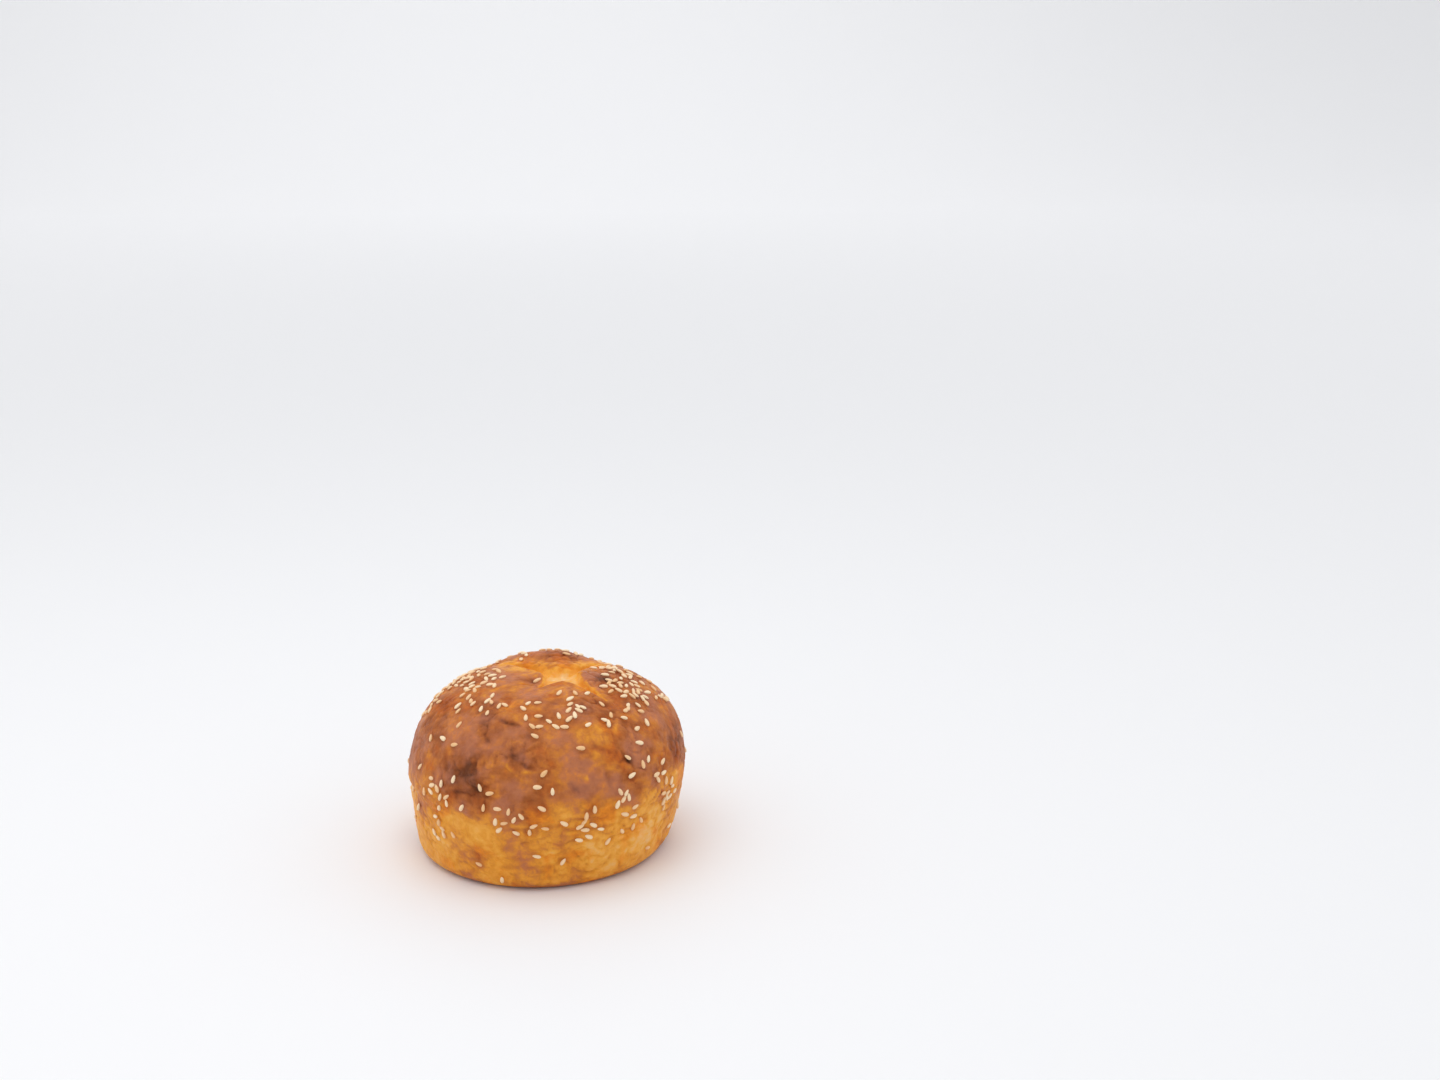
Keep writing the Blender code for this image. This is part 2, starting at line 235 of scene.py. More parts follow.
def crust_point(azimuth, radius, height):
    """Place on the real crust of a point of the plain turned form."""
    if height < WAIST_HEIGHT:
        radius = tucked(azimuth, radius, height)
        point = Vector((radius * math.cos(azimuth), radius * math.sin(azimuth), height))
    else:
        slide = max(0.0, 1 - (radius / WAIST_RADIUS) ** 2) ** CUT_SLIDE_POWER
        x = radius * math.cos(azimuth) + CUT_CENTRE.x * slide
        y = radius * math.sin(azimuth) + CUT_CENTRE.y * slide
        height = dome_height(math.hypot(x, y))
        rise = (height - WAIST_HEIGHT) / (CROWN_HEIGHT - WAIST_HEIGHT)
        x += DOME_LEAN * 4 * rise * (1 - rise)
        point = Vector((x, y, height + crown_relief(x, y)))
    swelling = SWELLING_HEIGHT * noise.noise(point / SWELLING_SIZE)
    ripple = RIPPLE_HEIGHT * noise.noise(point / RIPPLE_SIZE)
    outward = (point - Vector((0, 0, WAIST_HEIGHT))).normalized()
    return point + outward * (swelling + ripple) * eased(point.z / LEVEL_FOOT)


# Where the skin dried before the dough had stopped swelling, it creased. Each crease has a
# start, an end, a depth and how much darker it is painted, as painted shade in its groove. A
# raised fold has both below 0 and is painted paler, as a painted highlight.
CREASES = (
    ((-0.0163, -0.0330, 0.0614), (-0.0101, -0.0369, 0.0604), 0.0006, 0.26),
    ((0.0015, -0.0271, 0.0662), (0.0081, -0.0288, 0.0651), 0.0005, 0.20),
    ((-0.0044, -0.0237, 0.0672), (-0.0026, -0.0261, 0.0665), 0.0004, 0.14),
    ((-0.0221, -0.0359, 0.0571), (-0.0207, -0.0386, 0.0553), 0.0003, 0.20),
    ((-0.0128, -0.0448, 0.0517), (-0.0059, -0.0481, 0.0486), 0.0005, 0.24),
    ((-0.0141, -0.0480, 0.0452), (-0.0111, -0.0495, 0.0433), 0.0003, 0.16),
    ((-0.0311, -0.0375, 0.0480), (-0.0254, -0.0417, 0.0479), 0.0003, 0.06),
    ((-0.0297, -0.0403, 0.0451), (-0.0284, -0.0427, 0.0412), 0.0003, 0.06),
    ((-0.0256, -0.0450, 0.0393), (-0.0215, -0.0464, 0.0416), 0.0004, 0.14),
    ((-0.0424, -0.0241, 0.0480), (-0.0407, -0.0282, 0.0465), 0.0004, 0.16),
    ((0.0171, -0.0423, 0.0531), (0.0217, -0.0418, 0.0509), 0.0004, 0.20),
    ((0.0082, -0.0502, 0.0428), (0.0104, -0.0506, 0.0395), 0.0005, 0.24),
    ((0.0208, -0.0458, 0.0443), (0.0222, -0.0464, 0.0406), 0.0003, 0.18),
    ((0.0292, -0.0394, 0.0475), (0.0305, -0.0398, 0.0448), 0.0004, 0.22),
    ((0.0477, -0.0159, 0.0446), (0.0477, -0.0191, 0.0408), 0.0004, 0.12),
    ((-0.0254, -0.0419, 0.0140), (-0.0225, -0.0431, 0.0124), 0.0003, 0.10),
    ((0.0230, 0.0310, 0.0590), (0.0150, 0.0350, 0.0600), 0.0006, 0.22),
    ((-0.0300, 0.0290, 0.0560), (-0.0240, 0.0350, 0.0540), 0.0005, 0.18),
    ((0.0100, 0.0470, 0.0500), (0.0040, 0.0490, 0.0470), 0.0005, 0.22),
    ((-0.0200, 0.0440, 0.0500), (-0.0160, 0.0470, 0.0470), 0.0004, 0.20),
    ((0.0280, 0.0420, 0.0440), (0.0300, 0.0425, 0.0400), 0.0004, 0.20),
    ((-0.0208, -0.0440, 0.0481), (-0.0146, -0.0454, 0.0499), -0.0004, -0.12),
    ((-0.0146, -0.0454, 0.0499), (-0.0097, -0.0493, 0.0447), -0.0004, -0.12),
    ((-0.0090, -0.0482, 0.0475), (-0.0009, -0.0491, 0.0472), -0.0003, -0.12),
    ((0.0100, -0.0489, 0.0455), (0.0136, -0.0486, 0.0440), -0.0003, -0.12),
    ((0.0401, -0.0333, 0.0368), (0.0474, -0.0222, 0.0344), -0.0002, -0.14),
    ((-0.0452, -0.0225, 0.0181), (-0.0362, -0.0337, 0.0141), -0.0002, -0.16),
    ((-0.0200, 0.0450, 0.0200), (-0.0060, 0.0500, 0.0150), -0.0002, -0.14),
    ((0.0200, 0.0440, 0.0480), (0.0140, 0.0465, 0.0500), -0.0004, -0.12),
)
CREASE_HALF_WIDTH = 0.0009
CREASE_REACH = 0.018  # from its start, past which a crease no longer counts
CREASE_WINDING = 0.0008
CREASE_WINDING_SIZE = 0.003
TORN_MARGIN = 0.0009
TORN_RAGGED = 0.0006
TORN_RAGGED_SIZE = 0.0022

# Vector noise is the same in each run only from a set seed.
WINDING_SEED = 3
noise.seed_set(WINDING_SEED)


def creases_at(point):
    """Depth of the creases at a place, and their painted shade: how much darker it is there, below
    0 where a raised fold's painted highlight makes it paler.
    """
    depth_here = 0.0
    shade_and_highlight_here = 0.0
    winding = point + CREASE_WINDING * noise.noise_vector(point / CREASE_WINDING_SIZE)
    for start, end, depth, change in CREASES:
        offset = winding - Vector(start)
        if offset.length > CREASE_REACH:
            continue
        run = Vector(end) - Vector(start)
        along = min(max(offset.dot(run) / run.length_squared, 0.0), 1.0)
        share = bell((offset - run * along).length, CREASE_HALF_WIDTH)
        depth_here += depth * share
        shade_and_highlight_here += change * share
    return depth_here, shade_and_highlight_here


def torn_share(point):
    """1 on the pale stretched dough in the cut, 0 on the crust, with a ragged edge between them."""
    if point.z < WAIST_HEIGHT:
        return 0.0
    ragged = TORN_RAGGED * noise.noise(point / TORN_RAGGED_SIZE)
    inside = inside_cut(point.x, point.y) + TORN_MARGIN + ragged
    return eased(inside / cut_side(point.x, point.y))


# How brown the crust is runs from 0, pale dough, to 1, nearly burnt. The crown, nearest the
# oven's top heat, is browner than the side. Clouds, blotches and flecks make both uneven,
# from large to small.
SIDE_BROWN = 0.335
CROWN_BROWN = 0.55
BROWN_EDGE = 0.027  # height at which the crown's browning begins
BROWN_EDGE_WAVE = 0.007
BROWN_EDGE_SIZE = 0.02
BROWN_FADE = 0.012
CLOUD_SIZE = 0.016
CLOUD_BROWN = 0.12
BLOTCH_SIZE = 0.006
BLOTCH_BROWN = 0.11
BLOTCH_BEND = 0.0018
FLECK_SIZE = 0.0025
FLECK_BROWN = 0.07
FLECK_CONTRAST = 1.8
BRUSH_MARK_SIZE = 0.0016  # the marks run level, as the wash was brushed on round the wall
BRUSH_MARKS_ROUND = 8  # how often they change in a radian
BRUSH_MARK_BROWN = 0.07
# The base edge is drawn darker: partly browned against the hot tray, partly painted shade where the
# roll meets the floor.
TRAY_BROWN_AND_SHADE = 0.14  # the base edge, against the hot tray
TRAY_BROWN_AND_SHADE_HEIGHT = 0.0022
CUT_HALO = 0.006  # width of the paler skin that stretched beside the cut
CUT_HALO_PALE = 0.06
CUT_HALO_PALE_BEHIND = 0.14

# The torn dough in the cut swelled last and is paler than the crust, most in the middle, with
# strands drawn out from there.
CRUMB_BROWN = 0.34
CRUMB_PALE = 0.22
CRUMB_PALE_RADIUS = 0.008
STRAND_BROWN = 0.08
STRAND_SIZE = 0.006
STRANDS_ROUND = 3

# The skin's fine relief. The real crumb has holes of 0.5 to 1 mm, and the real skin pebbles of
# about 1 mm. Both are drawn coarser, because the mesh's points lie up to 0.9 mm apart.
WRINKLE_SIZE = 0.0042
WRINKLE_DEPTH = 0.0006
WRINKLE_KEENNESS = 8
# Painted shade: the wrinkles are drawn darker, for the shade in them.
WRINKLE_SHADE = 0.12
WRINKLE_AREA = 0.016
PEBBLE_SIZE = 0.0026
PEBBLE_HEIGHT = 0.00015
CRUMB_SIZE = 0.0016
CRUMB_HEIGHT = 0.0003
AREA_CONTRAST = 1.6

# Each patch of the crust has a place, a radius and how much browner it is, below 0 if paler.
# The one in the hollow beside the cut is painted shade.
PATCHES = (
    ((-0.0298, -0.0389, 0.0475), 0.0065, 0.11),
    ((-0.0290, -0.0415, 0.0430), 0.0065, 0.12),
    ((-0.0243, -0.0454, 0.0402), 0.0045, 0.08),
    ((-0.0310, -0.0410, 0.0330), 0.0060, 0.08),
    ((-0.0108, -0.0448, 0.0525), 0.0060, 0.04),
    ((-0.0056, -0.0475, 0.0497), 0.0030, 0.05),
    ((-0.0060, -0.0520, 0.0370), 0.0080, 0.10),
    ((0.0123, -0.0495, 0.0422), 0.0045, 0.06),
    ((0.0194, -0.0416, 0.0527), 0.0045, 0.03),
    ((0.0232, -0.0363, 0.0561), 0.0060, -0.12),
    ((-0.0200, -0.0330, 0.0590), 0.0060, 0.10),
    ((-0.0137, -0.0290, 0.0640), 0.0045, -0.14),
    ((-0.0030, -0.0248, 0.0668), 0.0035, 0.16),
    ((0.0218, -0.0060, 0.0677), 0.0028, 0.28),
    # Painted shade in the hollow beside the cut, under the left lobe's edge.
    ((-0.0050, -0.0090, 0.0696), 0.0034, 0.22),
    ((-0.0460, -0.0160, 0.0500), 0.0110, 0.12),
    ((0.0480, -0.0100, 0.0470), 0.0100, 0.14),
    ((0.0475, -0.0190, 0.0415), 0.0040, 0.05),
    ((0.0440, -0.0276, 0.0360), 0.0050, -0.14),
    ((-0.0240, -0.0425, 0.0130), 0.0040, 0.14),
    ((-0.0115, -0.0470, 0.0142), 0.0060, 0.12),
    ((0.0040, -0.0475, 0.0100), 0.0060, -0.10),
    ((0.0220, -0.0420, 0.0120), 0.0100, -0.18),
    ((0.0125, -0.0478, 0.0172), 0.0070, -0.06),
    ((0.0170, -0.0493, 0.0363), 0.0060, -0.06),
    ((0.0380, -0.0330, 0.0200), 0.0100, -0.14),
    ((-0.0430, -0.0250, 0.0150), 0.0070, -0.10),
    ((0.0010, 0.0110, 0.0700), 0.0080, 0.08),
    ((-0.0310, 0.0330, 0.0520), 0.0070, 0.16),
    ((0.0150, 0.0440, 0.0480), 0.0070, 0.14),
    ((0.0380, 0.0210, 0.0540), 0.0060, -0.12),
    ((-0.0060, 0.0500, 0.0400), 0.0070, 0.12),
    ((0.0300, 0.0400, 0.0200), 0.0080, -0.12),
    ((-0.0250, 0.0430, 0.0140), 0.0060, 0.12),
)


def area_share(point, size, contrast):
    """1 in areas of about that size, 0 between them, with soft edges."""
    return eased(0.5 + contrast * noise.noise(point / size))


def wrinkle_share(point):
    """1 in the narrow wrinkles of the skin, which come in some areas, and 0 between them."""
    fold = (1 - abs(noise.noise(point / WRINKLE_SIZE))) ** WRINKLE_KEENNESS
    return fold * area_share(point, WRINKLE_AREA, AREA_CONTRAST)


def browning_and_shade(point, torn, crease_shade_and_highlight):
    """How far the crust has browned at a place, from 0, pale, to 1, nearly burnt, together with the
    painted shade and highlight of its creases, wrinkles, foot and hollow.
    """
    bent = point + BLOTCH_BEND * noise.noise_vector(point / BLOTCH_SIZE)
    edge = BROWN_EDGE + BROWN_EDGE_WAVE * noise.noise(point / BROWN_EDGE_SIZE)
    crown = eased((point.z - edge) / BROWN_FADE)
    level = SIDE_BROWN + (CROWN_BROWN - SIDE_BROWN) * crown
    blotch = BLOTCH_BROWN * (area_share(bent, BLOTCH_SIZE, AREA_CONTRAST) - 0.5)
    fleck = FLECK_BROWN * (area_share(bent, FLECK_SIZE, FLECK_CONTRAST) - 0.5)
    level += (0.5 + 0.5 * crown) * (blotch + fleck)  # half as strong on the side
    # Clouds of browning, and painted shade in the wrinkles.
    level += CLOUD_BROWN * noise.noise(bent / CLOUD_SIZE) + WRINKLE_SHADE * wrinkle_share(point)
    round_the_wall = BRUSH_MARKS_ROUND * math.atan2(point.y, point.x)
    brushed = noise.noise(Vector((round_the_wall, point.z / BRUSH_MARK_SIZE, 0)))
    level += BRUSH_MARK_BROWN * brushed * eased(2 - point.z / WAIST_HEIGHT)
    # The foot: tray browning, and painted shade where it meets the floor.
    level += TRAY_BROWN_AND_SHADE * bell(point.z, TRAY_BROWN_AND_SHADE_HEIGHT)
    for place, radius, change in PATCHES:
        level += change * bell((bent - Vector(place)).length, radius)
    # Painted shade in the creases, and painted highlight on the raised folds.
    level += crease_shade_and_highlight
    if point.z > WAIST_HEIGHT:
        behind = eased((point.y - CUT_CENTRE.y) / CUT_HALF_WIDTH)
        outside = min(inside_cut(point.x, point.y), 0.0)
        level -= (CUT_HALO_PALE + CUT_HALO_PALE_BEHIND * behind) * bell(outside, CUT_HALO)
    middle = Vector(point.xy) - CUT_CENTRE
    round_the_cut = STRANDS_ROUND * math.atan2(middle.y, middle.x)
    strands = noise.noise(Vector((round_the_cut, middle.length / STRAND_SIZE, 0)))
    crumb = CRUMB_BROWN - CRUMB_PALE * bell(middle.length, CRUMB_PALE_RADIUS)
    crumb += STRAND_BROWN * strands
    return level + (crumb - level) * torn


def skin_relief(point, torn, crease_depth):
    """Fine relief of the skin: wrinkles, creases and pebbling, and coarse crumb in the cut."""
    skin = PEBBLE_HEIGHT * noise.noise(point / PEBBLE_SIZE) - WRINKLE_DEPTH * wrinkle_share(point)
    skin = (skin - crease_depth) * eased(point.z / LEVEL_FOOT)
    crumb = CRUMB_HEIGHT * noise.noise(point / CRUMB_SIZE)
    return skin + (crumb - skin) * torn


rings = profile()
bpy.ops.mesh.primitive_uv_sphere_add(
    segments=COLUMNS,
    ring_count=len(rings) - 1,
    radius=WAIST_RADIUS,
    location=(0, 0, 0),
)
crust = bpy.context.object
crust.name = "crust"
levels = []
torn_shares = []
for vert in crust.data.vertices:
    # The ring that a point of the ball is on follows from its angle to the top.
    ring = round(vert.co.normalized().angle(Vector((0, 0, 1))) / math.pi * (len(rings) - 1))
    azimuth = math.atan2(vert.co.y, vert.co.x)
    point = crust_point(azimuth, *rings[ring])
    torn = torn_share(point)
    outward = (point - Vector((0, 0, WAIST_HEIGHT))).normalized()
    crease_depth, crease_shade_and_highlight = creases_at(point)
    torn_shares.append(torn)
    levels.append(browning_and_shade(point, torn, crease_shade_and_highlight))
    vert.co = point + outward * skin_relief(point, torn, crease_depth)
for name, values in (("browning_and_shade", levels), ("torn", torn_shares)):
    attribute = crust.data.attributes.new(name, 'FLOAT', 'POINT')
    attribute.data.foreach_set("value", values)
bpy.ops.object.shade_smooth()


def linear(hex_colour):
    """Linear colour with alpha 1 of an sRGB hex colour."""
    shares = [int(hex_colour[start:start + 2], 16) / 255 for start in (1, 3, 5)]
    return [s / 12.92 if s <= 0.04045 else ((s + 0.055) / 1.055) ** 2.4 for s in shares] + [1]


def add_node(tree, kind, settings, inputs):
    """Adds a node, sets its properties, and sets or links its inputs."""
    node = tree.nodes.new(kind)
    for name, value in settings.items():
        setattr(node, name, value)
    for name, value in inputs.items():
        if isinstance(value, bpy.types.NodeSocket):
            tree.links.new(value, node.inputs[name])
        else:
            node.inputs[name].default_value = value
    return node


# Egg-washed crust: sugars and egg browned in the oven, from cream where the dough was hidden
# from the heat to dark brown. It is satin, and glossier where the brushed egg wash pooled.
BAKED_COLOURS = (
    (0.0, "#FAE2B4"),
    (0.12, "#F2C07F"),
    (0.24, "#F3AE49"),
    (0.34, "#E89A33"),
    (0.45, "#CF7F30"),
    (0.55, "#BD6E33"),
    (0.66, "#A85D2C"),
    (0.78, "#8C4A22"),
    (0.9, "#703A1A"),
    (1.0, "#5A3018"),
)
MOTTLE_SIZE = 0.0022
MOTTLE_BROWN = 0.045
HAZE_AND_SHEEN_SIZE = 0.011
POOL_SIZE = 0.009
BLISTER_SIZE = 0.0024
BLISTER_SHARE = 0.8  # of the height of the pores
PORE_SIZE = 0.0008
RELIEF_HEIGHT = 0.0003
baked = bpy.data.materials.new("egg_washed_crust")
baked.use_nodes = True
tree = baked.node_tree
shader = tree.nodes["Principled BSDF"]
position = add_node(tree, "ShaderNodeTexCoord", {}, {})
browning_and_shade_attribute = add_node(tree, "ShaderNodeAttribute", {"attribute_name": "browning_and_shade"}, {})
torn_dough = add_node(tree, "ShaderNodeAttribute", {"attribute_name": "torn"}, {})

# The baked colour: how brown the mesh says the crust is, painted shade included, finely mottled.
mottle = add_node(
    tree,
    "ShaderNodeTexNoise",
    {},
    {
        "Vector": position.outputs["Object"],
        "Scale": 1 / MOTTLE_SIZE,
        "Detail": 6.0,
        "Roughness": 0.62,
        "Distortion": 0.6,
    },
)
mottled = add_node(
    tree,
    "ShaderNodeMapRange",
    {"interpolation_type": 'SMOOTHSTEP'},
    {
        "Value": mottle.outputs["Fac"],
        "From Min": 0.34,
        "From Max": 0.66,
        "To Min": -MOTTLE_BROWN,
        "To Max": MOTTLE_BROWN,
    },
)
browned = add_node(
    tree,
    "ShaderNodeMath",
    {"operation": 'ADD'},
    {0: browning_and_shade_attribute.outputs["Fac"], 1: mottled.outputs["Result"]},
)
colours = add_node(tree, "ShaderNodeValToRGB", {}, {"Fac": browned.outputs["Value"]})
ramp = colours.color_ramp
ramp.elements[0].color = linear(BAKED_COLOURS[0][1])
ramp.elements[1].color = linear(BAKED_COLOURS[-1][1])
for share, hex_colour in BAKED_COLOURS[1:-1]:
    ramp.elements.new(share).color = linear(hex_colour)

# The haze and the glaze: where the egg wash dried thin, the browned crust has a dull, rosy
# haze, most on the crown, and where it lay thick, the colour is a clearer gold. The rosy haze
# is partly the thin wash's own bloom and partly painted sheen: the pale reflection of the soft
# box over the crown, put into the colour.
haze_and_sheen_places = add_node(
    tree,
    "ShaderNodeTexNoise",
    {},
    {"Vector": position.outputs["Object"], "Scale": 1 / HAZE_AND_SHEEN_SIZE, "Detail": 5.0},
)
haze_and_sheen_limit = add_node(
    tree,
    "ShaderNodeMapRange",
    {"interpolation_type": 'SMOOTHSTEP'},
    {
        "Value": browned.outputs["Value"],
        "From Min": 0.34,
        "From Max": 0.56,
        "To Min": 0.08,
        "To Max": 0.5,
    },
)
haze_and_sheen_share = add_node(
    tree,
    "ShaderNodeMapRange",
    {"interpolation_type": 'SMOOTHSTEP'},
    {
        "Value": haze_and_sheen_places.outputs["Fac"],
        "From Min": 0.46,
        "From Max": 0.64,
        "To Max": haze_and_sheen_limit.outputs["Result"],
    },
)

# A mix has its share at input 0, its two colours at 6 and 7, and its result at output 2.
# Painted sheen: the rosy colour lightens the crust where the haze lies.
hazed_and_sheened = add_node(
    tree,
    "ShaderNodeMix",
    {"data_type": 'RGBA', "blend_type": 'LIGHTEN'},
    {0: haze_and_sheen_share.outputs["Result"], 6: colours.outputs["Color"], 7: linear("#BD7A60")},
)
glaze_share = add_node(
    tree,
    "ShaderNodeMapRange",
    {"interpolation_type": 'SMOOTHSTEP'},
    {"Value": haze_and_sheen_places.outputs["Fac"], "From Min": 0.48, "From Max": 0.34, "To Max": 0.7},
)
glazed = add_node(
    tree,
    "ShaderNodeMix",
    {"data_type": 'RGBA', "blend_type": 'MULTIPLY'},
    {0: glaze_share.outputs["Result"], 6: hazed_and_sheened.outputs[2], 7: linear("#FFDEA4")},
)
tree.links.new(glazed.outputs[2], shader.inputs["Base Color"])

# The satin shine, which differs from place to place as the wash pooled, and dull torn dough.
gloss = add_node(
    tree,
    "ShaderNodeTexNoise",
    {},
    {"Vector": position.outputs["Object"], "Scale": 1 / POOL_SIZE, "Detail": 3.0},
)
satin = add_node(
    tree,
    "ShaderNodeMapRange",
    {},
    {
        "Value": gloss.outputs["Fac"],
        "From Min": 0.3,
        "From Max": 0.7,
        "To Min": 0.38,
        "To Max": 0.6,
    },
)
roughness = add_node(
    tree,
    "ShaderNodeMapRange",
    {},
    {"Value": torn_dough.outputs["Fac"], "To Min": satin.outputs["Result"], "To Max": 0.75},
)
tree.links.new(roughness.outputs["Result"], shader.inputs["Roughness"])

# Blisters under the wash, really about 1 mm across, and pores of about 0.3 mm. Both are drawn
# as coarse as they need to show.
blisters = add_node(
    tree,
    "ShaderNodeTexVoronoi",
    {"feature": 'SMOOTH_F1'},
    {"Vector": position.outputs["Object"], "Scale": 1 / BLISTER_SIZE, "Smoothness": 0.35},
)
domes = add_node(
    tree,
    "ShaderNodeMapRange",
    {"interpolation_type": 'SMOOTHSTEP'},
    {"Value": blisters.outputs["Distance"], "From Max": 0.55, "To Min": 1.0, "To Max": 0.0},
)
pores = add_node(
    tree,
    "ShaderNodeTexNoise",
    {},
    {
        "Vector": position.outputs["Object"],
        "Scale": 1 / PORE_SIZE,
        "Detail": 5.0,
        "Roughness": 0.65,
    },
)
relief = add_node(
    tree,
    "ShaderNodeMath",
    {"operation": 'MULTIPLY_ADD'},
    {0: domes.outputs["Result"], 1: BLISTER_SHARE, 2: pores.outputs["Fac"]},
)
bump = add_node(
    tree,
    "ShaderNodeBump",
    {},
    {"Height": relief.outputs["Value"], "Strength": 0.8, "Distance": RELIEF_HEIGHT},
)
tree.links.new(bump.outputs["Normal"], shader.inputs["Normal"])

# Light goes a little way into baked dough and comes back warmer.
shader.inputs["Subsurface Weight"].default_value = 0.1
shader.inputs["Subsurface Radius"].default_value = (1.0, 0.35, 0.12)
shader.inputs["Subsurface Scale"].default_value = 0.0015
shader.inputs["IOR"].default_value = 1.4
shader.inputs["Specular IOR Level"].default_value = 0.2
crust.data.materials.append(baked)
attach(crust, "root")
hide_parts("sesame_roll")


# The sesame seeds: hulled white sesame, pressed into the wet egg wash before baking, so that
# each lies flat and half sunk. One drop is modelled, and copies of it lie on the crust.

SPREAD_SEEDS = 200
ALL_SEEDS = 380
SEED_LENGTH = 0.0031
SEED_WIDTH = 0.0019
SEED_THICKNESS = 0.0013
SEED_TAPER = 0.35  # how much narrower it is at the pointed end
SEED_SIZE_SPREAD = 0.12  # either way, as a share of its size
SEED_SIDES = 8
SEED_BANDS = 7
SEED_TILT = 0.16  # either way, in radians
SEED_LIFT = 0.00015  # of its middle above the crust
SPREAD_GAP = 0.0035
CLUMP_GAP = 0.0019
CLUMP_KEENNESS = 3  # how closely the rest keep to the pinches
SEED_CLEAR_OF_CUT = 0.0022
LAST_SLANT = 1.85  # the lowest seeds, on the foot
WALL_SHARE = 0.45  # of a step of slant on the dome, in length down the crust
BARE_SHARE = 0.06  # of the seeds, stuck anywhere on the crust
CROWN_SHARE = 0.2  # of the seeds, stuck on the crown besides
CROWN_BAND_HEIGHT = 0.056
CROWN_BAND_HALF = 0.008

# Each pinch of seeds has a place, a reach and the share of its seeds that stuck.
PINCHES = (
    ((-0.0225, -0.0035, 0.0675), 0.0060, 1.0),
    ((-0.0290, -0.0080, 0.0650), 0.0060, 0.8),
    ((-0.0250, -0.0183, 0.0644), 0.0055, 0.8),
    ((-0.0173, -0.0242, 0.0652), 0.0045, 0.7),
    ((-0.0208, -0.0320, 0.0600), 0.0030, 0.5),
    ((-0.0045, -0.0375, 0.0607), 0.0035, 1.0),
    ((0.0032, -0.0372, 0.0610), 0.0040, 1.0),
    ((0.0107, -0.0320, 0.0632), 0.0045, 0.8),
    ((0.0067, -0.0225, 0.0674), 0.0035, 0.6),
    ((0.0215, -0.0310, 0.0606), 0.0050, 0.5),
    ((0.0253, -0.0126, 0.0658), 0.0055, 1.0),
    ((0.0340, -0.0090, 0.0625), 0.0065, 1.0),
    ((0.0429, 0.0012, 0.0563), 0.0055, 0.8),
    ((0.0334, -0.0220, 0.0590), 0.0050, 0.7),
    ((0.0325, -0.0360, 0.0480), 0.0050, 0.4),
    ((0.0112, -0.0441, 0.0533), 0.0035, 0.6),
    ((-0.0412, -0.0323, 0.0338), 0.0060, 0.8),
    ((-0.0390, -0.0320, 0.0200), 0.0060, 0.8),
    ((-0.0223, -0.0468, 0.0384), 0.0035, 0.8),
    ((-0.0317, -0.0419, 0.0307), 0.0030, 1.0),
    ((-0.0160, -0.0500, 0.0290), 0.0065, 0.9),
    ((0.0010, -0.0520, 0.0300), 0.0055, 0.7),
    ((0.0150, -0.0495, 0.0280), 0.0050, 1.0),
    ((0.0160, -0.0475, 0.0200), 0.0045, 0.6),
    ((0.0270, -0.0448, 0.0325), 0.0045, 1.0),
    ((0.0300, -0.0415, 0.0240), 0.0050, 0.6),
    ((0.0440, -0.0285, 0.0315), 0.0070, 1.0),
)


def seed_chance(place):
    """Share of seeds that stick at a place: most where a pinch of them fell, in front or behind."""
    chance = BARE_SHARE + CROWN_SHARE * eased((place.z - CROWN_BAND_HEIGHT) / CROWN_BAND_HALF)
    for pinch, reach, share in PINCHES:
        in_front = Vector(pinch)
        behind = Vector((-pinch[0], -pinch[1], pinch[2]))
        distance = min((place - in_front).length, (place - behind).length)
        chance += share * bell(distance, reach)
    return min(chance, 1.0)


def seed_bed(azimuth, slant, spin):
    """Matrix whose origin lies on the crust, with Z straight out of it and X along the seed."""
    step = 0.01
    place = crust_point(azimuth, *turned(slant))
    round_the_roll = crust_point(azimuth + step, *turned(slant)) - place
    down_the_roll = crust_point(azimuth, *turned(slant + step)) - place
    out = down_the_roll.cross(round_the_roll).normalized()
    along = (round_the_roll - out * round_the_roll.dot(out)).normalized()
    bed = Matrix((along, out.cross(along), out)).transposed().to_4x4()
    bed.translation = place
    return bed @ Matrix.Rotation(spin, 4, 'Z')


def scatter(beds, count, gap, keenness, draw):
    """Adds beds of seeds until there are so many, each at least a gap away from the others."""
    while len(beds) < count:
        azimuth = draw.uniform(-math.pi, math.pi)
        slant = draw.uniform(0, LAST_SLANT)
        spin = draw.uniform(0, math.pi)
        bed = seed_bed(azimuth, slant, spin)
        place = bed.translation
        area = turned(slant)[0] / WAIST_RADIUS * (1 if slant < 1 else WALL_SHARE)
        if draw.random() > seed_chance(place) ** keenness * area:
            continue
        if place.z > CROWN_BAND_HEIGHT and inside_cut(place.x, place.y) > -SEED_CLEAR_OF_CUT:
            continue
        if all((place - other.translation).length > gap for other in beds):
            beds.append(bed)


# The pattern seed is a ball of 1 m turned on its side, narrowed to a drop and made small.
bpy.ops.mesh.primitive_uv_sphere_add(segments=SEED_SIDES, ring_count=SEED_BANDS, radius=0.5)
pattern = bpy.context.object
bpy.ops.object.mode_set(mode='EDIT')
bpy.ops.mesh.select_all(action='SELECT')
bpy.ops.transform.rotate(
    value=math.pi / 2,
    orient_axis='Y',
    center_override=(0, 0, 0),
)
bpy.ops.object.mode_set(mode='OBJECT')
for vert in pattern.data.vertices:
    narrowing = 1 - SEED_TAPER * (vert.co.x + 0.5)
    vert.co.x *= SEED_LENGTH
    vert.co.y *= SEED_WIDTH * narrowing
    vert.co.z *= SEED_THICKNESS * narrowing
bpy.ops.object.shade_smooth()

